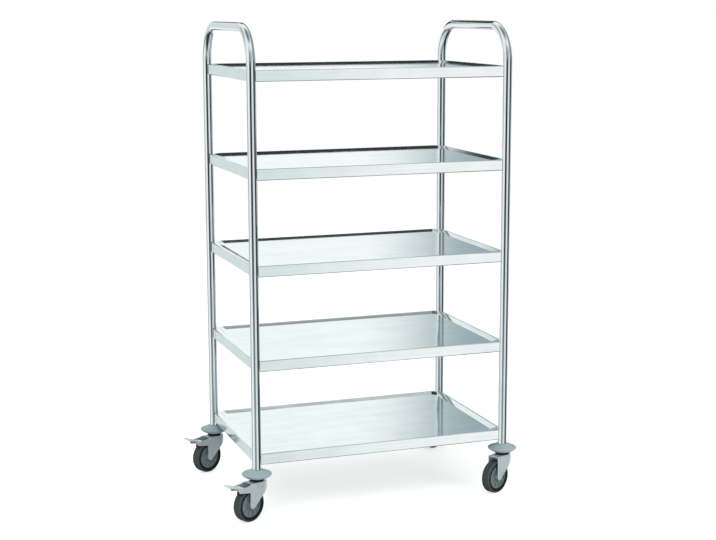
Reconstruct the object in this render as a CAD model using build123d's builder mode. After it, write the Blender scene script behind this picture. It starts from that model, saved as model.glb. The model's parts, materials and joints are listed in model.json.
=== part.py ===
from build123d import *
import math
import os

# Driving dimensions in millimetres and degrees. The origin is on the floor, under the middle of
# the whole footprint with the casters trailing as stored. +X runs along the shelves, +Y to the back.

# Place of the frame's middle, which the trailing casters and pedals push off the footprint's middle
FRAME_CENTRE_X = 34.53
FRAME_CENTRE_Y = 11.92

# Tube end frames
POST_SPACING_X = 820.0
POST_SPACING_Y = 530.0
TUBE_DIAMETER = 28.0
TUBE_WALL = 1.5
HANDLE_RISE = 136.0
HANDLE_BEND_RADIUS = 110.0

# Shelves, pressed from sheet
SHELF_NAMES = ("bottom_shelf", "lower_shelf", "middle_shelf", "upper_shelf", "top_shelf")
SHELF_PITCH = 290.0
SHELF_LIFT = 12.5
SHELF_SHEET = 1.0
SKIRT_HEIGHT = 34.0
SKIRT_STANDOUT = 2.0
SKIRT_BEND_RADIUS = 2.5
HEM_WIDTH = 11.0
RIM_FLAT = 8.0
RIM_SLOPE_WIDTH = 20.0
DECK_DEPTH = 6.0
RIM_CORNER_CUT = 26.0
POST_NOTCH_GAP = 0.2

# Bumper discs
BUMPER_DIAMETER = 92.0
BUMPER_HEIGHT = 26.0
BUMPER_EDGE = 3.0
BUMPER_EDGE_BASE = 11.0
BUMPER_FOOT_RADIUS = 24.0
BUMPER_FOOT_TILT = 8.0
BUMPER_NECK = 3.0
BUMPER_FIT = 0.15

# Caster swivel heads
STEM_LENGTH = 40.0
STEM_FLANGE_HEIGHT = 3.7
KINGPIN_RADIUS = 5.0
RIVET_RADIUS = 8.5
RIVET_HEIGHT = 3.5
RACE_RADIUS = 22.0
RACE_HEIGHT = 5.0
SWIVEL_GAP = 0.4

# Caster forks
FORK_SHEET = 3.0
FORK_GAP = 36.0
FORK_EDGE = 2.5
CROWN_NOSE = 12.0
CROWN_SKIRT = 14.0
FORK_BROW_REACH = 10.0
FORK_BROW_DROP = 38.0
AXLE_BOSS_RADIUS = 9.5
CASTER_TRAIL = 35.0
CASTER_REST_ANGLE = 207.0
TYRE_TOP_GAP = 13.0

# Wheels
WHEEL_DIAMETER = 104.0
TYRE_WIDTH = 30.0
TYRE_THICKNESS = 14.5
TYRE_SHOULDER_DROP = 5.0
TYRE_TREAD_WIDTH = 19.0
HUB_DISC_WIDTH = 25.0
HUB_BOSS_RADIUS = 12.0
HUB_END_GAP = 0.3

# Axle fasteners
AXLE_RADIUS = 3.0
HEX_ACROSS_FLATS = 10.0
BOLT_HEAD_HEIGHT = 4.0
NUT_HEIGHT = 5.0
BOLT_THREAD_END = 2.0

# Brakes on the two left casters
BRAKE_PIN_RADIUS = 3.0
BRAKE_PIN_STANDOFF = 10.4
BRAKE_PIN_ANGLE = 62.4
BRAKE_EYE_RADIUS = 6.0
CHEEK_REACH = 26.0
CHEEK_FALL = 5.0
CHEEK_DEPTH = 25.0
CHEEK_END_DEPTH = 12.0
CHEEK_ROUND = 5.0
CROWN_OPENING = 34.0
BRAKE_PAD_GAP = 5.0
BRAKE_PAD_ANGLE = 49.0
BRAKE_PAD_SPREAD = 4.5
PEDAL_ANGLE = 20.0
PEDAL_REACH = 62.0
PEDAL_ARM_WIDTH = 24.0
PEDAL_ARM_SHEET = 5.0
PEDAL_PLATE_LENGTH = 30.0
PEDAL_PLATE_WIDTH = 38.0
PEDAL_PLATE_SHEET = 3.0
PEDAL_CORNER_RADIUS = 8.0
PEDAL_RIB_COUNT = 3
PEDAL_RIB_PITCH = 8.0
PEDAL_RIB_SIZE = 2.0

# Fits shared by every turning pair
RUNNING_CLEARANCE = 0.06
SEAT_CLEARANCE = 0.1

# Sizes worked out from the driving dimensions
TUBE_RADIUS = TUBE_DIAMETER / 2
TUBE_BORE_RADIUS = TUBE_RADIUS - TUBE_WALL
WHEEL_RADIUS = WHEEL_DIAMETER / 2
TYRE_SEAT_RADIUS = WHEEL_RADIUS - TYRE_THICKNESS
CROWN_UNDERSIDE = WHEEL_DIAMETER + TYRE_TOP_GAP
CROWN_TOP = CROWN_UNDERSIDE + FORK_SHEET
RACE_BASE = CROWN_TOP + SWIVEL_GAP
RACE_TOP = RACE_BASE + RACE_HEIGHT
BUMPER_BASE = RACE_TOP + STEM_FLANGE_HEIGHT
BUMPER_TOP = BUMPER_BASE + BUMPER_HEIGHT
TUBE_FOOT = BUMPER_BASE
SHELF_BASES = [BUMPER_TOP + SHELF_LIFT + SHELF_PITCH * level for level in range(len(SHELF_NAMES))]
HANDLE_CENTRE = SHELF_BASES[-1] + SKIRT_HEIGHT + HANDLE_RISE - TUBE_RADIUS
FORK_HALF_WIDTH = FORK_GAP / 2 + FORK_SHEET
CROWN_REAR = CASTER_TRAIL + AXLE_BOSS_RADIUS
SHELF_LENGTH = POST_SPACING_X + 2 * SKIRT_STANDOUT
SHELF_DEPTH = POST_SPACING_Y + 2 * SKIRT_STANDOUT
RIM_TAPER = math.degrees(math.atan2(RIM_SLOPE_WIDTH, DECK_DEPTH))
BRAKE_PIN_X = CASTER_TRAIL + (WHEEL_RADIUS + BRAKE_PIN_STANDOFF) * math.cos(math.radians(BRAKE_PIN_ANGLE))
BRAKE_PIN_Z = WHEEL_RADIUS + (WHEEL_RADIUS + BRAKE_PIN_STANDOFF) * math.sin(math.radians(BRAKE_PIN_ANGLE))

CORNERS = {
    "front_left": (FRAME_CENTRE_X - POST_SPACING_X / 2, FRAME_CENTRE_Y - POST_SPACING_Y / 2),
    "rear_left": (FRAME_CENTRE_X - POST_SPACING_X / 2, FRAME_CENTRE_Y + POST_SPACING_Y / 2),
    "front_right": (FRAME_CENTRE_X + POST_SPACING_X / 2, FRAME_CENTRE_Y - POST_SPACING_Y / 2),
    "rear_right": (FRAME_CENTRE_X + POST_SPACING_X / 2, FRAME_CENTRE_Y + POST_SPACING_Y / 2),
}
BRAKED_CORNERS = ("front_left", "rear_left")


def save(piece, name):
    """Labels a finished piece and writes it under its own name."""
    piece.label = name
    export_step(piece, f"parts/{name}.step")


def caster_place(corner):
    """Where a caster stands: on its post's axis, turned so that local +X is the trailing direction."""
    x, y = CORNERS[corner]
    return Location((x, y, 0), (0, 0, CASTER_REST_ANGLE))


def wheel_place(corner):
    """The wheel's centre on its caster, with the wheel's own axis lying along the axle."""
    return caster_place(corner) * Location((CASTER_TRAIL, 0, WHEEL_RADIUS), (90, 0, 0))


# Tube end frames
def end_frame(x):
    """One bent tube: two posts and the push handle that joins them at the top."""
    side = Plane(origin=(x, FRAME_CENTRE_Y, 0), x_dir=(0, 1, 0), z_dir=(1, 0, 0))
    half = POST_SPACING_Y / 2
    with BuildPart() as frame:
        with BuildLine(side) as path:
            FilletPolyline(
                (-half, TUBE_FOOT),
                (-half, HANDLE_CENTRE),
                (half, HANDLE_CENTRE),
                (half, TUBE_FOOT),
                radius=HANDLE_BEND_RADIUS,
            )
        with BuildSketch(Plane(origin=path.line @ 0, z_dir=path.line % 0)):
            Circle(TUBE_RADIUS)
            Circle(TUBE_BORE_RADIUS, mode=Mode.SUBTRACT)
        sweep(path=path.line)
    return frame.part


# Shelves
def shelf_outline(inset):
    """A shelf's plan, drawn in from its skirt by the inset, with a round notch at each post."""
    with BuildSketch() as plan:
        Rectangle(SHELF_LENGTH - 2 * inset, SHELF_DEPTH - 2 * inset)
        with GridLocations(POST_SPACING_X, POST_SPACING_Y, 2, 2):
            Circle(TUBE_RADIUS + POST_NOTCH_GAP + inset, mode=Mode.SUBTRACT)
    return plan.sketch


def deck_outline(growth):
    """The deck's edge where it leaves the rim's flat top, grown outwards, with its corners cut."""
    inset = RIM_FLAT - growth
    with BuildSketch() as plan:
        Rectangle(SHELF_LENGTH - 2 * inset, SHELF_DEPTH - 2 * inset)
        chamfer(plan.vertices(), RIM_CORNER_CUT + (2 - math.sqrt(2)) * growth)
    return plan.sketch


def shelf_hollow():
    """The open space under a shelf, which leaves one thickness of sheet and a hem turned inwards."""
    slope_shift = SHELF_SHEET / math.cos(math.radians(RIM_TAPER))
    with BuildPart() as hollow:
        with BuildSketch(Plane.XY.offset(SHELF_SHEET)):
            add(shelf_outline(SHELF_SHEET))
        extrude(amount=SKIRT_HEIGHT - 2 * SHELF_SHEET)
        with BuildSketch(Plane.XY.offset(SKIRT_HEIGHT)):
            add(deck_outline(slope_shift))
        extrude(amount=-(DECK_DEPTH + SHELF_SHEET), taper=RIM_TAPER, mode=Mode.SUBTRACT)
        with BuildSketch():
            add(shelf_outline(HEM_WIDTH))
        extrude(amount=SHELF_SHEET)
    return hollow.part


def shelf():
    """A pressed tray: skirt bent in at rim and hem, flat-topped rim and a slope down to the sunken deck."""
    with BuildPart() as tray:
        with BuildSketch():
            add(shelf_outline(0))
        extrude(amount=SKIRT_HEIGHT)
        bends = tray.edges().filter_by(GeomType.LINE) - tray.edges().filter_by(Axis.Z)
        fillet(bends, SKIRT_BEND_RADIUS)
        with BuildSketch(Plane.XY.offset(SKIRT_HEIGHT)):
            add(deck_outline(0))
        extrude(amount=-DECK_DEPTH, taper=RIM_TAPER, mode=Mode.SUBTRACT)
        add(shelf_hollow(), mode=Mode.SUBTRACT)
    return tray.part


# Pieces between the tubes and the casters
def bumper_disc():
    """A saucer round the foot of a post: a bowl below, a wide edge and a low cone above."""
    edge = BUMPER_DIAMETER / 2
    edge_top = BUMPER_EDGE_BASE + BUMPER_EDGE
    bore = TUBE_RADIUS + BUMPER_FIT
    tilt = math.radians(BUMPER_FOOT_TILT)
    with BuildPart() as disc:
        with BuildSketch(Plane.XZ):
            with BuildLine():
                Line((bore, 0), (BUMPER_FOOT_RADIUS, 0))
                TangentArc(
                    (BUMPER_FOOT_RADIUS, 0),
                    (edge, BUMPER_EDGE_BASE),
                    tangent=(math.cos(tilt), math.sin(tilt)),
                )
                Polyline(
                    (edge, BUMPER_EDGE_BASE),
                    (edge, edge_top),
                    (bore + BUMPER_NECK, BUMPER_HEIGHT),
                    (bore, BUMPER_HEIGHT),
                    (bore, 0),
                )
            make_face()
        revolve(axis=Axis.Z)
    return disc.part


def caster_stem():
    """A turned stem: plug in the tube's end, flange, kingpin and the rivet head under the fork's crown."""
    plug = TUBE_BORE_RADIUS - SEAT_CLEARANCE
    rivet_top = CROWN_UNDERSIDE - SWIVEL_GAP
    with BuildPart() as stem:
        with BuildSketch(Plane.XZ):
            with BuildLine():
                Polyline(
                    (0, rivet_top - RIVET_HEIGHT),
                    (RIVET_RADIUS, rivet_top - RIVET_HEIGHT),
                    (RIVET_RADIUS, rivet_top),
                    (KINGPIN_RADIUS, rivet_top),
                    (KINGPIN_RADIUS, RACE_TOP),
                    (TUBE_RADIUS, RACE_TOP),
                    (TUBE_RADIUS, TUBE_FOOT),
                    (plug, TUBE_FOOT),
                    (plug, TUBE_FOOT + STEM_LENGTH),
                    (0, TUBE_FOOT + STEM_LENGTH),
                    close=True,
                )
            make_face()
        revolve(axis=Axis.Z)
    return stem.part


def swivel_race():
    """The round bearing race between the stem's flange and the fork's crown."""
    with BuildPart() as race:
        with BuildSketch(Plane.XY.offset(RACE_BASE)):
            Circle(RACE_RADIUS)
            Circle(KINGPIN_RADIUS + SEAT_CLEARANCE, mode=Mode.SUBTRACT)
        extrude(amount=RACE_HEIGHT)
    return race.part


# Caster forks
def fork_side():
    """The fork's side view: a crown over the swivel, a full brow and a leg down to the axle's boss."""
    crown_front = -CROWN_NOSE - FORK_HALF_WIDTH - FORK_SHEET
    with BuildSketch(Plane.XZ) as side:
        with BuildLine():
            CenterArc((CASTER_TRAIL, WHEEL_RADIUS), AXLE_BOSS_RADIUS, 0, 360)
            Polyline(
                (-FORK_BROW_REACH, CROWN_TOP - FORK_BROW_DROP),
                (crown_front, CROWN_TOP - CROWN_SKIRT),
                (crown_front, CROWN_TOP),
                (CROWN_REAR, CROWN_TOP),
            )
        make_hull()
    return side.sketch


def brake_cheek_side():
    """The side view of the cheeks behind the fork's legs, which carry the brake pedal's pin."""
    rear = BRAKE_PIN_X + CHEEK_REACH
    rear_top = CROWN_TOP - CHEEK_FALL
    inner_corner = (CROWN_REAR, CROWN_TOP - CHEEK_DEPTH)
    with BuildSketch(Plane.XZ) as cheek:
        with BuildLine():
            Polyline(
                (CASTER_TRAIL, CROWN_TOP - FORK_EDGE),
                (CROWN_REAR, CROWN_TOP - FORK_EDGE),
                (rear, rear_top),
                (rear, rear_top - CHEEK_END_DEPTH),
                inner_corner,
                (CROWN_REAR, CROWN_TOP - 2 * CHEEK_DEPTH),
                (CASTER_TRAIL, CROWN_TOP - 2 * CHEEK_DEPTH),
                close=True,
            )
        make_face()
        inside = cheek.vertices().sort_by_distance((inner_corner[0], 0, inner_corner[1]))[0]
        fillet([inside, *cheek.vertices().group_by(Axis.X)[-1]], CHEEK_ROUND)
    return cheek.sketch


def fork_plan(width):
    """A fork's plan, or the plan of the space inside it: round in front and straight to the rear."""
    reach = 2 * (CASTER_TRAIL + WHEEL_RADIUS)
    with BuildSketch() as plan:
        SlotCenterPoint(((reach - CROWN_NOSE) / 2, 0), (reach, 0), width)
    return plan.sketch


def fork(braked):
    """A pressed fork, open below its crown for the wheel, with cheeks for the pedal if it is braked."""
    with BuildPart() as yoke:
        with BuildSketch(Plane.XZ):
            add(fork_side())
        extrude(amount=FORK_HALF_WIDTH, both=True)
        with BuildSketch():
            add(fork_plan(2 * FORK_HALF_WIDTH))
        extrude(amount=CROWN_TOP, mode=Mode.INTERSECT)
        crown_edges = yoke.faces().sort_by(Axis.Z)[-1].edges()
        chamfer(crown_edges - crown_edges.filter_by(Axis.Y), FORK_EDGE)
        if braked:
            with BuildSketch(Plane.XZ):
                add(brake_cheek_side())
            extrude(amount=FORK_HALF_WIDTH, both=True)
            with Locations((CROWN_OPENING, 0, CROWN_TOP)):
                open_behind = (Align.MIN, Align.CENTER, Align.CENTER)
                Box(WHEEL_DIAMETER, FORK_GAP, CROWN_TOP, align=open_behind, mode=Mode.SUBTRACT)
            with Locations(Plane(origin=(BRAKE_PIN_X, FORK_HALF_WIDTH, BRAKE_PIN_Z), z_dir=(0, 1, 0))):
                Hole(BRAKE_PIN_RADIUS + SEAT_CLEARANCE, depth=2 * FORK_HALF_WIDTH)
        with BuildSketch():
            add(fork_plan(FORK_GAP))
        extrude(amount=CROWN_UNDERSIDE, mode=Mode.SUBTRACT)
        with Locations((0, 0, CROWN_TOP)):
            Hole(KINGPIN_RADIUS + RUNNING_CLEARANCE, depth=2 * FORK_SHEET)
        with Locations(Plane(origin=(CASTER_TRAIL, FORK_HALF_WIDTH, WHEEL_RADIUS), z_dir=(0, 1, 0))):
            Hole(AXLE_RADIUS + SEAT_CLEARANCE, depth=2 * FORK_HALF_WIDTH)
    return yoke.part


# Wheels, drawn about their own axis
def tyre():
    """A rubber tyre with flat sides, sloping shoulders and a flat tread."""
    half, tread = TYRE_WIDTH / 2, TYRE_TREAD_WIDTH / 2
    shoulder = WHEEL_RADIUS - TYRE_SHOULDER_DROP
    with BuildPart() as ring:
        with BuildSketch(Plane.XZ):
            with BuildLine():
                Polyline(
                    (TYRE_SEAT_RADIUS, -half),
                    (shoulder, -half),
                    (WHEEL_RADIUS, -tread),
                    (WHEEL_RADIUS, tread),
                    (shoulder, half),
                    (TYRE_SEAT_RADIUS, half),
                    close=True,
                )
            make_face()
        revolve(axis=Axis.Z)
    return ring.part


def wheel_hub():
    """The wheel's centre: a disc that carries the tyre and a boss on the axle between the fork's legs."""
    with BuildPart() as hub:
        Cylinder(TYRE_SEAT_RADIUS, HUB_DISC_WIDTH)
        Cylinder(HUB_BOSS_RADIUS, FORK_GAP - 2 * HUB_END_GAP)
        Hole(AXLE_RADIUS + RUNNING_CLEARANCE)
    return hub.part


# Axle fasteners, drawn about the wheel's axis
def axle_bolt():
    """A hexagon bolt through both fork legs and the wheel, with its head on the outer side."""
    with BuildPart() as bolt:
        with BuildSketch(Plane.XY.offset(-FORK_HALF_WIDTH)):
            RegularPolygon(HEX_ACROSS_FLATS / 2, 6, major_radius=False)
        extrude(amount=-BOLT_HEAD_HEIGHT)
        with BuildSketch(Plane.XY.offset(-FORK_HALF_WIDTH)):
            Circle(AXLE_RADIUS)
        extrude(amount=2 * FORK_HALF_WIDTH + NUT_HEIGHT + BOLT_THREAD_END)
    return bolt.part


def axle_nut():
    """The nut that closes the axle bolt on the fork's inner side."""
    with BuildPart() as nut:
        with BuildSketch(Plane.XY.offset(FORK_HALF_WIDTH)):
            RegularPolygon(HEX_ACROSS_FLATS / 2, 6, major_radius=False)
            Circle(AXLE_RADIUS + SEAT_CLEARANCE, mode=Mode.SUBTRACT)
        extrude(amount=NUT_HEIGHT)
    return nut.part


# Brakes
def brake_pin():
    """The pin across the fork's cheeks on which the pedal turns."""
    with BuildPart() as pin:
        with BuildSketch(Plane(origin=(BRAKE_PIN_X, 0, BRAKE_PIN_Z), z_dir=(0, 1, 0))):
            Circle(BRAKE_PIN_RADIUS)
        extrude(amount=FORK_HALF_WIDTH, both=True)
    return pin.part


def pad_point(angle):
    """A point of the brake pad's face, at its gap from the tyre, in the caster's side view."""
    radius = WHEEL_RADIUS + BRAKE_PAD_GAP
    turn = math.radians(angle)
    return (CASTER_TRAIL + radius * math.cos(turn), WHEEL_RADIUS + radius * math.sin(turn))


def brake_pedal():
    """A foot pedal: an eye and pad between the cheeks, an arm rising rearwards and a ribbed plate."""
    lean = math.radians(PEDAL_ANGLE)
    along = (math.cos(lean), 0, math.sin(lean))
    across = Plane(origin=(BRAKE_PIN_X, 0, BRAKE_PIN_Z), x_dir=along, z_dir=(-along[2], 0, along[0]))
    plate_centre = PEDAL_REACH - PEDAL_PLATE_LENGTH / 2
    with BuildPart() as pedal:
        with BuildSketch(Plane.XZ):
            with BuildLine():
                CenterArc((BRAKE_PIN_X, BRAKE_PIN_Z), BRAKE_EYE_RADIUS, 0, 360)
                Line(
                    pad_point(BRAKE_PAD_ANGLE - BRAKE_PAD_SPREAD),
                    pad_point(BRAKE_PAD_ANGLE + BRAKE_PAD_SPREAD),
                )
            make_hull()
        extrude(amount=TYRE_TREAD_WIDTH / 2, both=True)
        with BuildSketch(Plane(origin=(BRAKE_PIN_X, 0, BRAKE_PIN_Z), z_dir=(0, 1, 0))):
            Circle(BRAKE_EYE_RADIUS)
        extrude(amount=FORK_GAP / 2 - HUB_END_GAP, both=True)
        with BuildSketch(across):
            with Locations((PEDAL_REACH / 2, 0)):
                Rectangle(PEDAL_REACH, PEDAL_ARM_WIDTH)
        extrude(amount=PEDAL_ARM_SHEET / 2, both=True)
        with BuildSketch(across.offset(PEDAL_ARM_SHEET / 2)):
            with Locations((plate_centre, 0)):
                RectangleRounded(PEDAL_PLATE_LENGTH, PEDAL_PLATE_WIDTH, PEDAL_CORNER_RADIUS)
        extrude(amount=-PEDAL_PLATE_SHEET)
        with BuildSketch(across.offset(PEDAL_ARM_SHEET / 2)):
            with Locations((plate_centre, 0)):
                with GridLocations(PEDAL_RIB_PITCH, 1, PEDAL_RIB_COUNT, 1):
                    Rectangle(PEDAL_RIB_SIZE, PEDAL_ARM_WIDTH)
        extrude(amount=PEDAL_RIB_SIZE)
        with Locations(Plane(origin=(BRAKE_PIN_X, FORK_GAP / 2, BRAKE_PIN_Z), z_dir=(0, 1, 0))):
            Hole(BRAKE_PIN_RADIUS + RUNNING_CLEARANCE, depth=FORK_GAP)
    return pedal.part


def placed(piece, *places):
    """The piece set down at each of the places, as one part of separate solids."""
    with BuildPart() as result:
        with Locations(*places):
            add(piece)
    return result.part


def build():
    """Builds every piece at its place and writes it."""
    os.makedirs("parts", exist_ok=True)
    save(end_frame(FRAME_CENTRE_X - POST_SPACING_X / 2), "left_end_frame")
    save(end_frame(FRAME_CENTRE_X + POST_SPACING_X / 2), "right_end_frame")
    tray = shelf()
    for name, base in zip(SHELF_NAMES, SHELF_BASES):
        save(placed(tray, Location((FRAME_CENTRE_X, FRAME_CENTRE_Y, base))), name)

    post_feet = [Location((x, y, 0)) for x, y in CORNERS.values()]
    disc_seats = [foot * Location((0, 0, BUMPER_BASE)) for foot in post_feet]
    save(placed(bumper_disc(), *disc_seats), "bumper_discs")
    save(placed(caster_stem(), *post_feet), "caster_stems")
    save(placed(swivel_race(), *post_feet), "swivel_races")

    for corner in CORNERS:
        braked = corner in BRAKED_CORNERS
        caster, wheel = caster_place(corner), wheel_place(corner)
        save(placed(fork(braked), caster), f"{corner}_fork")
        save(placed(tyre(), wheel), f"{corner}_tyre")
        save(placed(wheel_hub(), wheel), f"{corner}_wheel_hub")
        save(placed(axle_bolt(), wheel), f"{corner}_axle_bolt")
        save(placed(axle_nut(), wheel), f"{corner}_axle_nut")
        if braked:
            save(placed(brake_pin(), caster), f"{corner}_brake_pin")
            save(placed(brake_pedal(), caster), f"{corner}_brake_pedal")


build()
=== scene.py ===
"""Looks of a five-shelf serving trolley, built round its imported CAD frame.

The CAD nodes get their finishes and softened edges, tyres and hubs are turned afresh with their
grooves and ribs, and a plain studio with the photo's camera stands round the trolley.
"""

import json
import logging
import math
from collections.abc import Callable, Mapping, Sequence
from dataclasses import dataclass, replace
from enum import Enum
from typing import Any

import bpy
from mathutils import Matrix, Vector


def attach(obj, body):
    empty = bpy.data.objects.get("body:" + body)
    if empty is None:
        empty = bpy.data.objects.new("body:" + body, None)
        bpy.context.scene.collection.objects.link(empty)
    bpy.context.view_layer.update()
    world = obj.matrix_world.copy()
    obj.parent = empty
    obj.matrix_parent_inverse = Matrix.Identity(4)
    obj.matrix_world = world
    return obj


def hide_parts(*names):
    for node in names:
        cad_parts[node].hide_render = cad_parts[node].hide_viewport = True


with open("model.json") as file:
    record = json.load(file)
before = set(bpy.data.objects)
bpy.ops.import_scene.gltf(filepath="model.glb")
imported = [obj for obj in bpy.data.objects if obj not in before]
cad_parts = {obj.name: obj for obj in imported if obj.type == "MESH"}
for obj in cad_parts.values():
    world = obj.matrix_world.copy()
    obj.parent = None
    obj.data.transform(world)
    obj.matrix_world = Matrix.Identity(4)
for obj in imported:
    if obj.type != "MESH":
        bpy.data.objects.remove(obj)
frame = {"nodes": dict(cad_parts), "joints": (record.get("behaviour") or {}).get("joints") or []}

LOG = logging.getLogger("trolley")
MM = 0.001
WHITE = "#FFFFFF"

# Sockets of the colour Mix node, which go by number because their names repeat
MIX_SHARE, MIX_FIRST, MIX_SECOND, MIX_RESULT = 0, 6, 7, 2

# Noise behind every finish
CLOUD_DETAIL = 3.0
CLOUD_ROUGHNESS = 0.55
GRAIN_DETAIL = 2.0
# Grain times smudge seldom passes this, so the roughness takes it as full wear
FULL_WEAR = 0.5
# Half the width over which a core's painted shade gives way to the finish's own colour
SHADE_CORE_BLUR_MM = 0.4

# Softened edges of the CAD nodes
WELD_MM = 0.001
BEVEL_SEGMENTS = 3
BEVEL_ANGLE = 28.0

# Turned pieces
LATHE_STEPS = 120
ARC_STEPS = 6
SHARP_ANGLE = 32.0

# The way to the front, in degrees from +X towards +Y
FRONT_AZIMUTH = 270.0

Colour = tuple[float, float, float, float]
Point = tuple[float, float]
Span = tuple[float, float]
Spot = tuple[float, float, float]
Tree = bpy.types.NodeTree
Socket = bpy.types.NodeSocket


class Corner(Enum):
    """The four posts, each with a caster under it."""

    FRONT_LEFT = "front_left"
    REAR_LEFT = "rear_left"
    FRONT_RIGHT = "front_right"
    REAR_RIGHT = "rear_right"


class Grain(Enum):
    """How far a surface's grain is drawn out along X, Y and Z by the way it was worked."""

    ROLLED = (60.0, 12.0, 1.0)
    DRAWN = (1.0, 1.0, 60.0)
    EVEN = (1.0, 1.0, 1.0)


class FadeAlong(Enum):
    """The way along which a studio screen changes its colour."""

    WIDTH = "X"
    HEIGHT = "Z"


def linear(hex_colour: str) -> Colour:
    """Turns an sRGB hex colour into linear RGBA.

    Args:
        hex_colour: Six hex digits after a hash sign.

    Returns:
        The linear red, green and blue with full alpha.
    """
    channels = [int(hex_colour[i : i + 2], 16) / 255 for i in (1, 3, 5)]
    red, green, blue = (c / 12.92 if c <= 0.04045 else ((c + 0.055) / 1.055) ** 2.4 for c in channels)
    return (red, green, blue, 1.0)


def add_node(
    tree: Tree, kind: str, inputs: Mapping[str | int, Any] | None = None, **settings: Any
) -> bpy.types.Node:
    """Adds a node with its settings, and sets or links its inputs.

    Args:
        tree: The node tree that gets the node.
        kind: The node's type name.
        inputs: Input names or numbers, each with a plain value or the output socket that feeds it.
        settings: The node's own properties.

    Returns:
        The new node.
    """
    node = tree.nodes.new(kind)
    for name, value in settings.items():
        setattr(node, name, value)
    for key, value in (inputs or {}).items():
        if isinstance(value, Socket):
            tree.links.new(value, node.inputs[key])
        else:
            node.inputs[key].default_value = value
    return node


def joint(name: str) -> dict[str, Any]:
    """The frame's joint of that name."""
    return next(j for j in frame["joints"] if j["name"] == name)


@dataclass(frozen=True)
class Place:
    """Where a pattern or a turned piece sits: a point and an axis in the frame."""

    origin: Vector = Vector((0, 0, 0))
    axis: Vector = Vector((0, 0, 1))

    def matrix(self) -> Matrix:
        """The turn and shift that carries a piece drawn about Z to this place."""
        return Matrix.Translation(self.origin) @ self.axis.to_track_quat("Z", "Y").to_matrix().to_4x4()

    def coordinates(self, tree: Tree) -> Socket:
        """Adds the nodes that give a point's place relative to this one.

        Args:
            tree: The material's node tree.

        Returns:
            The socket of the point in metres, with Z along the axis.
        """
        point = add_node(tree, "ShaderNodeTexCoord").outputs["Object"]
        turned = self.axis.to_track_quat("Z", "Y").to_euler()
        mapping = {"Vector": point, "Location": self.origin, "Rotation": turned}
        return add_node(tree, "ShaderNodeMapping", mapping, vector_type="TEXTURE").outputs["Vector"]


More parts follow.
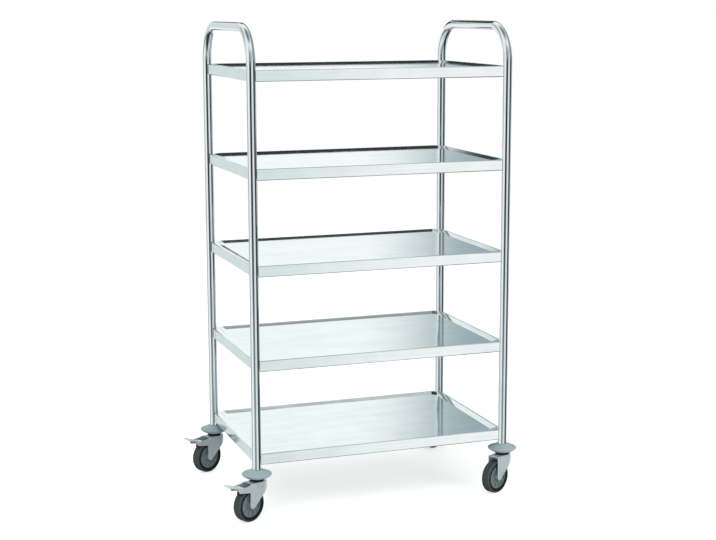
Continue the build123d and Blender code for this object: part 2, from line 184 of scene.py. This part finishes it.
@dataclass(frozen=True)
class Finish:
    """A surface: what it is made of, how it was worked and how it has worn.

    Grain and smudge sizes are real sizes. A grain that is too fine to show is drawn as coarse as
    it needs to show. A core is a round region about the place's axis, painted dark as shade.
    """

    name: str
    colour: str
    worn_colour: str
    roughness: float
    roughness_spread: float
    metallic: float = 0.0
    grain: Grain = Grain.EVEN
    grain_mm: float = 1.0
    bump_mm: float = 0.02
    smudge_mm: float = 90.0
    shade_core_colour: str = ""
    shade_core_mm: float = 0.0

    def material(self, label: str = "", place: Place = Place()) -> bpy.types.Material:
        """Makes the material.

        Args:
            label: Added to the finish's name where one piece needs a material of its own.
            place: The piece's own place, which its pattern follows.

        Returns:
            The node material.
        """
        made = bpy.data.materials.new(f"{self.name} {label}".strip())
        made.use_nodes = True
        tree = made.node_tree
        tree.nodes.clear()
        point = place.coordinates(tree)
        smudge = self.smudges(tree, point)
        grain = self.grain_pattern(tree, point)
        wear = add_node(tree, "ShaderNodeMath", {0: grain, 1: smudge}, operation="MULTIPLY").outputs[0]
        spread = {
            "Value": wear,
            "From Max": FULL_WEAR,
            "To Min": self.roughness - self.roughness_spread,
            "To Max": self.roughness + self.roughness_spread,
        }
        bump = {"Distance": self.bump_mm * MM, "Height": grain}
        surface = {
            "Base Color": self.coloured(tree, point, wear),
            "Metallic": self.metallic,
            "Roughness": add_node(tree, "ShaderNodeMapRange", spread).outputs["Result"],
            "Normal": add_node(tree, "ShaderNodeBump", bump).outputs["Normal"],
        }
        shader = add_node(tree, "ShaderNodeBsdfPrincipled", surface)
        add_node(tree, "ShaderNodeOutputMaterial", {"Surface": shader.outputs["BSDF"]})
        return made

    def smudges(self, tree: Tree, point: Socket) -> Socket:
        """Adds the broad cloudy variation that handling and cleaning leave.

        Args:
            tree: The material's node tree.
            point: The point in metres.

        Returns:
            The socket of the smudges, from none to full.
        """
        cloud = {
            "Vector": point,
            "Scale": 1 / (self.smudge_mm * MM),
            "Detail": CLOUD_DETAIL,
            "Roughness": CLOUD_ROUGHNESS,
        }
        return add_node(tree, "ShaderNodeTexNoise", cloud).outputs["Fac"]

    def grain_pattern(self, tree: Tree, point: Socket) -> Socket:
        """Adds the fine grain, drawn out along the way the surface was worked.

        Args:
            tree: The material's node tree.
            point: The point in metres.

        Returns:
            The socket of the grain's height, from none to full.
        """
        along = [1 / stretch for stretch in self.grain.value]
        stretched = add_node(tree, "ShaderNodeMapping", {"Vector": point, "Scale": along}).outputs["Vector"]
        fine = {"Vector": stretched, "Scale": 1 / (self.grain_mm * MM), "Detail": GRAIN_DETAIL}
        return add_node(tree, "ShaderNodeTexNoise", fine).outputs["Fac"]

    def coloured(self, tree: Tree, point: Socket, wear: Socket) -> Socket:
        """Adds the colour, from fresh to worn, with the core's painted shade over it.

        Args:
            tree: The material's node tree.
            point: The point in metres.
            wear: How far the point has worn.

        Returns:
            The colour's socket.
        """
        worn = {MIX_SHARE: wear, MIX_FIRST: linear(self.colour), MIX_SECOND: linear(self.worn_colour)}
        colour = add_node(tree, "ShaderNodeMix", worn, data_type="RGBA").outputs[MIX_RESULT]
        if not self.shade_core_mm:
            return colour
        shade_share = self.shade_core_share(tree, point)
        shaded_colour = {MIX_SHARE: shade_share, MIX_FIRST: colour, MIX_SECOND: linear(self.shade_core_colour)}
        return add_node(tree, "ShaderNodeMix", shaded_colour, data_type="RGBA").outputs[MIX_RESULT]

    def shade_core_share(self, tree: Tree, point: Socket) -> Socket:
        """Adds the share of the core's painted shade, which is full nearer the axis than the core's radius.

        Args:
            tree: The material's node tree.
            point: The point in metres, with Z along the axis.

        Returns:
            The socket of the share, from none to full.
        """
        across = {0: point, 1: (1, 1, 0)}
        flat = add_node(tree, "ShaderNodeVectorMath", across, operation="MULTIPLY").outputs[0]
        radius = add_node(tree, "ShaderNodeVectorMath", {0: flat}, operation="LENGTH").outputs["Value"]
        edge = {
            "Value": radius,
            "From Min": (self.shade_core_mm + SHADE_CORE_BLUR_MM) * MM,
            "From Max": (self.shade_core_mm - SHADE_CORE_BLUR_MM) * MM,
        }
        return add_node(tree, "ShaderNodeMapRange", edge).outputs["Result"]


# Bright stainless tube: a mirror that lengthwise polishing softens a little. The polishing lines
# are far finer than a millimetre and are drawn at 1.2 mm so that they show.
STAINLESS_TUBE = Finish(
    "stainless steel polished tube", "#EEF3F4", "#D6DEE1", 0.11, 0.05,
    metallic=1.0, grain=Grain.DRAWN, grain_mm=1.2, bump_mm=0.003,
)
# Bright-annealed stainless sheet: soft mirror images, with lines along the way it was rolled. Those
# too are drawn coarser than they are, at 4 mm, so that they show.
STAINLESS_SHEET = Finish(
    "stainless steel bright sheet", "#F6FBFB", "#CED8DA", 0.09, 0.03,
    metallic=1.0, grain=Grain.ROLLED, grain_mm=4.0, bump_mm=0.003,
)
# Zinc plating on pressed steel: cool and cloudy, pale or grey by what it faces.
ZINC_PLATE = Finish(
    "zinc-plated steel", "#DCE8EB", "#A9BAC0", 0.30, 0.08,
    metallic=0.35, grain_mm=3.0, bump_mm=0.02, smudge_mm=25.0,
)
# The pedal's zinc plating, with painted shadow that turns its pad black where it lies near the tyre.
PEDAL_ZINC_WITH_PAD_SHADE = replace(
    ZINC_PLATE, name="zinc-plated steel with painted pad shade", colour="#E6ECEE", worn_colour="#D6DDE0",
    shade_core_colour="#14181A", shade_core_mm=61.5,
)
# Bearing steel of the swivel: painted black as the shade in the gap over the fork.
SHADED_BEARING_STEEL = Finish(
    "bearing steel painted black as shade", "#14181A", "#1E2426", 0.45, 0.10,
    metallic=0.3, grain_mm=1.0, bump_mm=0.02, smudge_mm=10.0,
)
# Bumper plastic: a satin grey with a slight green cast, from a lightly grained mould.
BUMPER_PLASTIC = Finish(
    "grey thermoplastic bumper", "#A5BABD", "#97ACAF", 0.45, 0.10,
    grain_mm=1.2, bump_mm=0.03, smudge_mm=40.0,
)
# Hub plastic: mid grey, smooth from the mould.
HUB_PLASTIC = Finish(
    "grey polyamide", "#7A898D", "#67757A", 0.42, 0.10,
    grain_mm=1.0, bump_mm=0.02, smudge_mm=20.0,
)
# Tyre rubber: grey where it rolls, with painted shade that makes its side walls near black.
TYRE_RUBBER = Finish(
    "grey rubber", "#3C484B", "#4C5759", 0.68, 0.12,
    grain_mm=0.8, bump_mm=0.05, smudge_mm=15.0, shade_core_colour="#0D1112", shade_core_mm=46.5,
)
# Paper of the studio floor: matt and nearly white.
FLOOR_PAPER = Finish("white paper floor", "#E6E6E6", "#DEDEDE", 0.8, 0.05, bump_mm=0.01)


def dress(node: str, material: bpy.types.Material, bevel_mm: float = 0.0) -> None:
    """Gives a CAD node its material and softens its edges.

    Args:
        node: The node's name.
        material: The material for the whole node.
        bevel_mm: The width of the softened edges, or zero for none.
    """
    piece = frame["nodes"][node]
    piece.data.materials.clear()
    piece.data.materials.append(material)
    if bevel_mm:
        weld = piece.modifiers.new("joined faces", "WELD")
        weld.merge_threshold = WELD_MM * MM
        bevel = piece.modifiers.new("soft edges", "BEVEL")
        bevel.width = bevel_mm * MM
        bevel.segments = BEVEL_SEGMENTS
        bevel.limit_method = "ANGLE"
        bevel.angle_limit = math.radians(BEVEL_ANGLE)
        bevel.harden_normals = True
        bevel.use_clamp_overlap = True
    LOG.info("dressed %s", node)


def arc(centre: Point, radius: float, start: float, end: float) -> list[Point]:
    """Points on an arc, in degrees from the first direction, both ends included."""
    turns = [math.radians(start + (end - start) * i / ARC_STEPS) for i in range(ARC_STEPS + 1)]
    return [(centre[0] + radius * math.cos(t), centre[1] + radius * math.sin(t)) for t in turns]


def lathe(
    name: str, outline: Callable[[float], Sequence[Point]], place: Place, body: str
) -> bpy.types.Object:
    """Turns a closed outline of (radius, height) points in millimetres about a place's axis.

    Args:
        name: The new piece's name.
        outline: Gives the outline, in order round it, at each share of the full turn.
        place: The centre and axis of the turning.
        body: The frame's body that the piece rides on.

    Returns:
        The new mesh object.
    """
    count = len(outline(0))
    points, faces = [], []
    for step in range(LATHE_STEPS):
        turn = 2 * math.pi * step / LATHE_STEPS
        for radius, height in outline(step / LATHE_STEPS):
            local = Vector((radius * math.cos(turn), radius * math.sin(turn), height)) * MM
            points.append(place.matrix() @ local)
        after = (step + 1) % LATHE_STEPS
        for i in range(count):
            j = (i + 1) % count
            faces.append((step * count + i, after * count + i, after * count + j, step * count + j))
    mesh = bpy.data.meshes.new(name)
    mesh.from_pydata(points, [], faces)
    mesh.validate()
    mesh.shade_smooth()
    mesh.set_sharp_from_angle(angle=math.radians(SHARP_ANGLE))
    piece = bpy.data.objects.new(name, mesh)
    bpy.context.scene.collection.objects.link(piece)
    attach(piece, body)
    LOG.info("built %s", name)
    return piece


@dataclass
class EndFrames:
    """The two bent tubes that are posts and push handles in one."""

    nodes: tuple[str, ...] = ("left_end_frame", "right_end_frame")

    def build(self) -> None:
        """Dresses both tubes in polished stainless steel."""
        steel = STAINLESS_TUBE.material()
        for node in self.nodes:
            dress(node, steel)


@dataclass
class Shelves:
    """The five pressed trays."""

    nodes: tuple[str, ...] = ("bottom_shelf", "lower_shelf", "middle_shelf", "upper_shelf", "top_shelf")
    bend_mm: float = 0.8

    def build(self) -> None:
        """Dresses every tray in bright sheet, with the small radii that pressing leaves."""
        steel = STAINLESS_SHEET.material()
        for node in self.nodes:
            dress(node, steel, self.bend_mm)


@dataclass
class PostFeet:
    """The plastic saucers and the swivel pieces at the feet of the posts."""

    bumper_edge_mm: float = 1.6
    swivel_edge_mm: float = 0.6

    def build(self) -> None:
        """Dresses the saucers in plastic, and the swivel and stems in bearing steel painted black as shade.
        """
        dress("bumper_discs", BUMPER_PLASTIC.material(), self.bumper_edge_mm)
        # Painted shade: the swivel races and stems are black for the dark gap between fork and saucer.
        dress("swivel_races", SHADED_BEARING_STEEL.material(), self.swivel_edge_mm)
        dress("caster_stems", SHADED_BEARING_STEEL.material("stem"), self.swivel_edge_mm)


@dataclass
class Wheel:
    """A caster's wheel: a grooved rubber tyre on a dished plastic hub, in millimetres and degrees."""

    corner: Corner
    radius: float = 52.0
    width: float = 30.0
    seat_radius: float = 37.5
    shoulder: float = 6.0
    shoulder_sweep: float = 86.0
    groove_width: float = 2.0
    groove_depth: float = 1.6
    groove_places: tuple[float, ...] = (-5.0, 5.0)
    groove_floor_share: float = 0.6
    wall_radius: float = 45.5
    wall_sink: float = 1.0
    seat_edge: float = 1.0
    hub_width: float = 25.0
    hub_fit: float = 0.1
    rim_edge: float = 0.8
    rim_land: float = 2.6
    rim_foot: float = 3.4
    hub_dish: float = 5.5
    rib_count: int = 10
    rib_share: float = 0.2
    rib_sink: float = 0.6
    boss_radius: float = 12.0
    boss_width: float = 35.2
    boss_foot: float = 1.0
    boss_foot_sink: float = 0.4
    boss_taper: float = 0.8
    boss_edge: float = 0.6
    bore: float = 3.3

    def place(self) -> Place:
        """The wheel's centre and axle, from the frame's own joint."""
        turning = joint(f"{self.corner.value}_roll")
        return Place(Vector(turning["pos_m"]), Vector(turning["axis"]))

    def tyre_outline(self, turn: float) -> list[Point]:
        """The tyre's section: a grooved tread, round shoulders and side walls a little sunk.

        Args:
            turn: The share of the full turn, which this section doesn't change with.

        Returns:
            The section's points as radius and height, in order round it.
        """
        half, centre = self.width / 2, self.radius - self.shoulder
        wall, seat, edge = half - self.wall_sink, self.seat_radius, self.seat_edge
        outline = [(seat, -wall + edge), (seat + edge, -wall), (self.wall_radius, -wall)]
        outline += arc((centre, -half + self.shoulder), self.shoulder, -self.shoulder_sweep, 0)
        side, floor = self.groove_width / 2, self.radius - self.groove_depth
        foot = side * self.groove_floor_share
        for middle in self.groove_places:
            outline += [
                (self.radius, middle - side),
                (floor, middle - foot),
                (floor, middle + foot),
                (self.radius, middle + side),
            ]
        outline += arc((centre, half - self.shoulder), self.shoulder, 0, self.shoulder_sweep)
        return outline + [(self.wall_radius, wall), (seat + edge, wall), (seat, wall - edge)]

    def hub_outline(self, turn: float) -> list[Point]:
        """The hub's section: a rim under the tyre, a dish crossed by ribs on each side and the boss.

        Args:
            turn: The share of the full turn, which tells whether the section lies on a rib.

        Returns:
            The section's points as radius and height, in order round it.
        """
        rim, boss = self.hub_width / 2, self.boss_width / 2
        edge, top = self.seat_radius - self.hub_fit, self.boss_radius - self.boss_taper
        on_rib = (turn * self.rib_count) % 1 < self.rib_share
        floor = rim - (self.rib_sink if on_rib else self.hub_dish)
        side = [
            (edge, rim - self.rim_edge),
            (edge - self.rim_edge, rim),
            (edge - self.rim_land, rim),
            (edge - self.rim_foot, floor),
            (self.boss_radius + self.boss_foot, floor),
            (self.boss_radius, rim - self.boss_foot_sink),
            (top, boss - self.boss_edge),
            (top - self.boss_edge, boss),
            (self.bore, boss),
        ]
        return side + [(radius, -height) for radius, height in reversed(side)]

    def build(self) -> None:
        """Builds tyre and hub in place of the plainer CAD solids."""
        corner, place = self.corner.value, self.place()
        tyre = lathe(f"{corner}_tyre_grooved", self.tyre_outline, place, f"{corner}_wheel")
        # Painted shade: the tyre's side walls inside the core radius are coloured near black.
        tyre.data.materials.append(TYRE_RUBBER.material(corner, place))
        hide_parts(f"{corner}_tyre")
        hub = lathe(f"{corner}_hub_ribbed", self.hub_outline, place, f"{corner}_wheel")
        hub.data.materials.append(HUB_PLASTIC.material(corner, place))
        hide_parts(f"{corner}_wheel_hub")


@dataclass
class Caster:
    """One swivel caster: fork, axle fasteners and wheel, with a brake on the left ones."""

    corner: Corner
    fork_edge_mm: float = 1.2
    fastener_edge_mm: float = 0.5

    def braked(self) -> bool:
        """Whether the frame has a brake pedal here."""
        return f"{self.corner.value}_brake_pedal" in frame["nodes"]

    def build(self) -> None:
        """Dresses the fork and its fasteners, and builds the wheel."""
        corner = self.corner.value
        zinc = ZINC_PLATE.material(corner)
        dress(f"{corner}_fork", zinc, self.fork_edge_mm)
        for fastener in ("axle_bolt", "axle_nut"):
            dress(f"{corner}_{fastener}", zinc, self.fastener_edge_mm)
        wheel = Wheel(self.corner)
        if self.braked():
            dress(f"{corner}_brake_pin", zinc)
            # Painted shadow: the pedal's zinc turns black inside the core round the axle, where its pad
            # lies in shade.
            pad_shaded = PEDAL_ZINC_WITH_PAD_SHADE.material(corner, wheel.place())
            dress(f"{corner}_brake_pedal", pad_shaded, self.fastener_edge_mm)
        wheel.build()


def stage_sheet(name: str, corners: Sequence[Spot]) -> bpy.types.Object:
    """Adds a four-cornered sheet that isn't part of the object.

    Args:
        name: The sheet's name.
        corners: Its corners in metres, in order round it.

    Returns:
        The new object, with no material yet.
    """
    mesh = bpy.data.meshes.new(name)
    mesh.from_pydata(corners, [], [(0, 1, 2, 3)])
    sheet = bpy.data.objects.new(name, mesh)
    bpy.context.scene.collection.objects.link(sheet)
    return sheet


@dataclass(frozen=True)
class Glow:
    """A stretch of the studio that the steel mirrors, with its place and size in degrees.

    It is an upright band from foot to top, or a round patch if it has an elevation, and its azimuth
    counts from +X towards +Y. Top and foot each give the height where the band is still full and
    the one where it has faded out.
    """

    azimuth: float
    half_width: float
    softness: float
    colour: str
    elevation: float | None = None
    top: Span = (10.0, 40.0)
    foot: Span | None = None

    def direction(self) -> Vector:
        """The unit vector to its middle, which lies level if it is a band."""
        turn, rise = math.radians(self.azimuth), math.radians(self.elevation or 0)
        return Vector((math.cos(turn) * math.cos(rise), math.sin(turn) * math.cos(rise), math.sin(rise)))

    def share(self, tree: Tree, direction: Socket) -> Socket:
        """Adds the nodes that tell how much of this stretch lies in a direction.

        Args:
            tree: The world's node tree.
            direction: The ray's direction.

        Returns:
            The socket of the share, from none to full.
        """
        smooth = {"interpolation_type": "SMOOTHSTEP"}
        most: float | Socket = 1.0
        if self.elevation is None:
            rise = add_node(tree, "ShaderNodeSeparateXYZ", {0: direction}).outputs["Z"]
            for edge in filter(None, (self.top, self.foot)):
                full, gone = (math.sin(math.radians(height)) for height in edge)
                fall = {"Value": rise, "From Min": gone, "From Max": full, "To Max": most}
                most = add_node(tree, "ShaderNodeMapRange", fall, **smooth).outputs["Result"]
            level = {0: direction, 1: (1, 1, 0)}
            flat = add_node(tree, "ShaderNodeVectorMath", level, operation="MULTIPLY").outputs[0]
            direction = add_node(tree, "ShaderNodeVectorMath", {0: flat}, operation="NORMALIZE").outputs[0]
        near = {0: direction, 1: self.direction()}
        nearness = add_node(tree, "ShaderNodeVectorMath", near, operation="DOT_PRODUCT").outputs["Value"]
        fade = {
            "Value": nearness,
            "From Min": math.cos(math.radians(self.half_width + self.softness)),
            "From Max": math.cos(math.radians(max(self.half_width - self.softness, 0))),
            "To Max": most,
        }
        return add_node(tree, "ShaderNodeMapRange", fade, **smooth).outputs["Result"]


@dataclass(frozen=True)
class Screen:
    """An upright paper sheet behind the object that only mirrors see, in metres.

    Its colour changes from the first to the second over the fade, along its width or its height,
    and a soft left edge brings the first colour in there over its own width.
    """

    name: str
    x_m: Span
    z_m: Span
    colours: tuple[str, str]
    fade_along: FadeAlong
    fade_m: Span
    soft_left_m: float = 0.0
    y_m: float = 1.9

    def corners(self) -> list[Spot]:
        """Its corners in metres, in order round it."""
        (left, right), (bottom, top), far = self.x_m, self.z_m, self.y_m
        return [(left, far, bottom), (right, far, bottom), (right, far, top), (left, far, top)]

    def material(self) -> bpy.types.Material:
        """Makes the paper, which shows its own colour without any lamp.

        Returns:
            The node material.
        """
        paper = bpy.data.materials.new(f"{self.name} paper")
        paper.use_nodes = True
        tree = paper.node_tree
        tree.nodes.clear()
        smooth = {"interpolation_type": "SMOOTHSTEP"}
        point = add_node(tree, "ShaderNodeTexCoord").outputs["Object"]
        apart = add_node(tree, "ShaderNodeSeparateXYZ", {0: point}).outputs
        share: float | Socket = 1.0
        if self.soft_left_m:
            left = self.x_m[0]
            edge = {"Value": apart["X"], "From Min": left, "From Max": left + self.soft_left_m}
            share = add_node(tree, "ShaderNodeMapRange", edge, **smooth).outputs["Result"]
        start, end = self.fade_m
        fade = {"Value": apart[self.fade_along.value], "From Min": start, "From Max": end, "To Max": share}
        share = add_node(tree, "ShaderNodeMapRange", fade, **smooth).outputs["Result"]
        first, second = (linear(colour) for colour in self.colours)
        mix = {MIX_SHARE: share, MIX_FIRST: first, MIX_SECOND: second}
        colour = add_node(tree, "ShaderNodeMix", mix, data_type="RGBA").outputs[MIX_RESULT]
        light = add_node(tree, "ShaderNodeEmission", {"Color": colour}).outputs["Emission"]
        add_node(tree, "ShaderNodeOutputMaterial", {"Surface": light})
        return paper


# White paper that turns grey to the right, a grey flag beside it and two dark flags over it.
SCREENS = (
    Screen(
        "studio_backdrop", (-0.75, 1.5), (0.0, 1.55), ("#FBFFFF", "#9DAFB5"),
        FadeAlong.WIDTH, (0.7, 1.35),
    ),
    Screen(
        "studio_side_flag", (1.5, 2.6), (0.0, 1.55), ("#7D8C92", "#5A676C"),
        FadeAlong.WIDTH, (1.5, 2.6),
    ),
    Screen(
        "studio_low_flag", (-0.45, 2.2), (1.55, 2.06), ("#FFFFFF", "#2E3638"),
        FadeAlong.HEIGHT, (1.56, 1.72), soft_left_m=0.4,
    ),
    Screen(
        "studio_high_flag", (-0.45, 2.2), (2.06, 2.9), ("#F0F4F5", "#2E3638"),
        FadeAlong.HEIGHT, (2.13, 2.215), soft_left_m=0.4,
    ),
)


@dataclass(frozen=True)
class Lamp:
    """A square soft lamp, turned to the object."""

    name: str
    place_m: Spot
    side_m: float
    power_w: float

    def build(self, aim_m: Spot) -> None:
        """Hangs the lamp where mirrors don't see it.

        Args:
            aim_m: The point that it is turned to.
        """
        light = bpy.data.lights.new(self.name, "AREA")
        light.size = self.side_m
        light.energy = self.power_w
        lamp = bpy.data.objects.new(self.name, light)
        lamp.location = self.place_m
        beam = Vector(aim_m) - Vector(self.place_m)
        lamp.rotation_euler = beam.to_track_quat("-Z", "Y").to_euler()
        lamp.visible_glossy = False
        bpy.context.scene.collection.objects.link(lamp)


# A broad soft lamp above the left front and a smaller, low one on the right.
LAMPS = (
    Lamp("key_lamp", (-1.8, -2.2, 3.2), side_m=2.4, power_w=50.0),
    Lamp("fill_lamp", (1.9, -2.9, 0.62), side_m=1.2, power_w=40.0),
)


@dataclass
class Studio:
    """Floor, screens, mirrored walls, lamps and the camera at the photo's angle."""

    lens_mm: float = 75.8
    sensor_mm: float = 36.0
    eye_m: Spot = (-1.5545, -4.5221, 1.55)
    yaw: float = 19.453
    pitch: float = 10.002
    roll: float = -0.144
    floor_m: float = 12.0
    floor_glow: float = 0.61
    ambient: float = 0.62
    screens: tuple[Screen, ...] = SCREENS
    lamps: tuple[Lamp, ...] = LAMPS
    lamp_aim_m: Spot = (0.0, 0.0, 0.6)
    camera_flag_turn: float = -12.5
    side_flag_turn: float = 84.0
    front_strip_turn: float = 30.0
    back_strip_turn: float = -145.0

    def glows(self) -> list[Glow]:
        """Lists what stands before the white walls, in the order in which it is laid over them.

        Returns:
            Grey walls with dark flags under them, strips and bands, patches, ceiling and floor.
        """
        camera = FRONT_AZIMUTH - self.yaw
        by_camera, at_side = camera + self.camera_flag_turn, camera + self.side_flag_turn
        return [
            # Two grey walls, each with a dark flag under it
            Glow(by_camera, 22, 8, "#8A979B", top=(20, 75)),
            Glow(by_camera, 22, 8, "#2C3436", top=(2, 14), foot=(-8, -16)),
            Glow(at_side, 26, 10, "#8F9CA1", top=(20, 60)),
            Glow(at_side, 26, 10, "#39434A", top=(2, 14)),
            # Two pale strips
            Glow(camera + self.front_strip_turn, 4, 7, "#DFE9E9"),
            Glow(camera + self.back_strip_turn, 14, 10, "#DCE5E6"),
            # Low bands that skirts and posts mirror from behind
            Glow(42, 14, 8, "#94A1A6", top=(-2, 6)),
            Glow(141, 12, 8, "#94A1A6", top=(-2, 6)),
            # Patches that the decks mirror from the left end, the front right and behind
            Glow(14, 27, 14, "#8D9A9F", elevation=26),
            Glow(137, 18, 8, "#B4C1C5", elevation=24),
            Glow(275, 16, 8, "#B4C1C5", elevation=24),
            # Ceiling and floor
            Glow(0, 20, 18, "#7B888B", elevation=90),
            Glow(0, 50, 15, "#30383A", elevation=-90),
        ]

    def build(self) -> None:
        """Makes the whole studio."""
        self.make_world()
        self.make_floor()
        self.make_screens()
        for lamp in self.lamps:
            lamp.build(self.lamp_aim_m)
        self.make_camera()
        LOG.info("built the studio")

    def mirrored(self, tree: Tree) -> Socket:
        """Adds the colours that mirrors see: white walls with flags before them.

        Args:
            tree: The world's node tree.

        Returns:
            The colour's socket.
        """
        direction = add_node(tree, "ShaderNodeTexCoord").outputs["Generated"]
        seen: Colour | Socket = linear(WHITE)
        for glow in self.glows():
            share = glow.share(tree, direction)
            mix = {MIX_SHARE: share, MIX_FIRST: seen, MIX_SECOND: linear(glow.colour)}
            seen = add_node(tree, "ShaderNodeMix", mix, data_type="RGBA").outputs[MIX_RESULT]
        return seen

    def make_world(self) -> None:
        """White to the eye, the studio's walls to mirrors, and an even light to matt surfaces."""
        scene = bpy.context.scene
        scene.world = bpy.data.worlds.new("studio walls")
        scene.world.use_nodes = True
        tree = scene.world.node_tree
        tree.nodes.clear()
        lights = {"matt": (linear(WHITE), self.ambient), "white": (linear(WHITE), 1.0)}
        lights["mirror"] = (self.mirrored(tree), 1.0)
        seen = {
            name: add_node(tree, "ShaderNodeBackground", {"Color": colour, "Strength": strength}).outputs[0]
            for name, (colour, strength) in lights.items()
        }
        rays = add_node(tree, "ShaderNodeLightPath").outputs
        shown = seen["matt"]
        kinds = (("Is Glossy Ray", "mirror"), ("Is Transmission Ray", "white"), ("Is Camera Ray", "white"))
        for kind, name in kinds:
            choice = {0: rays[kind], 1: shown, 2: seen[name]}
            shown = add_node(tree, "ShaderNodeMixShader", choice).outputs[0]
        add_node(tree, "ShaderNodeOutputWorld", {"Surface": shown})

    def make_floor(self) -> None:
        """A paper floor that shows as white to the eye, but for the object's soft shadow."""
        half = self.floor_m / 2
        corners = [(-half, -half, 0), (half, -half, 0), (half, half, 0), (-half, half, 0)]
        floor = stage_sheet("studio_floor", corners)
        floor.visible_glossy = False
        paper = FLOOR_PAPER.material()
        tree = paper.node_tree
        output = tree.nodes["Material Output"].inputs["Surface"]
        matt = output.links[0].from_socket
        lit = {"Color": linear(WHITE), "Strength": self.floor_glow}
        glow = add_node(tree, "ShaderNodeEmission", lit).outputs["Emission"]
        both = add_node(tree, "ShaderNodeAddShader", {0: matt, 1: glow}).outputs[0]
        to_eye = add_node(tree, "ShaderNodeLightPath").outputs["Is Camera Ray"]
        shown = add_node(tree, "ShaderNodeMixShader", {0: to_eye, 1: matt, 2: both}).outputs[0]
        tree.links.new(shown, output)
        floor.data.materials.append(paper)

    def make_screens(self) -> None:
        """The sheets behind the object, which only mirrors see."""
        for screen in self.screens:
            sheet = stage_sheet(screen.name, screen.corners())
            for kind in ("camera", "diffuse", "transmission", "shadow", "volume_scatter"):
                setattr(sheet, f"visible_{kind}", False)
            sheet.data.materials.append(screen.material())

    def make_camera(self) -> None:
        """The camera where the photo's was, tilted down and turned a little about its view."""
        lens = bpy.data.cameras.new("camera")
        lens.sensor_fit = "HORIZONTAL"
        lens.sensor_width = self.sensor_mm
        lens.lens = self.lens_mm
        camera = bpy.data.objects.new("camera", lens)
        camera.location = self.eye_m
        turn = Matrix.Rotation(math.radians(-self.yaw), 4, "Z")
        tilt = Matrix.Rotation(math.radians(90 - self.pitch), 4, "X")
        spin = Matrix.Rotation(math.radians(self.roll), 4, "Z")
        camera.rotation_euler = (turn @ tilt @ spin).to_euler()
        scene = bpy.context.scene
        scene.collection.objects.link(camera)
        scene.camera = camera
        scene.view_settings.view_transform = "Standard"


def main() -> None:
    """Builds the trolley's looks piece by piece, then the studio round it."""
    logging.basicConfig(level=logging.INFO, format="%(name)s: %(message)s")
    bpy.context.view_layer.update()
    EndFrames().build()
    Shelves().build()
    PostFeet().build()
    for corner in Corner:
        Caster(corner).build()
    Studio().build()


if __name__ == "__main__":
    main()
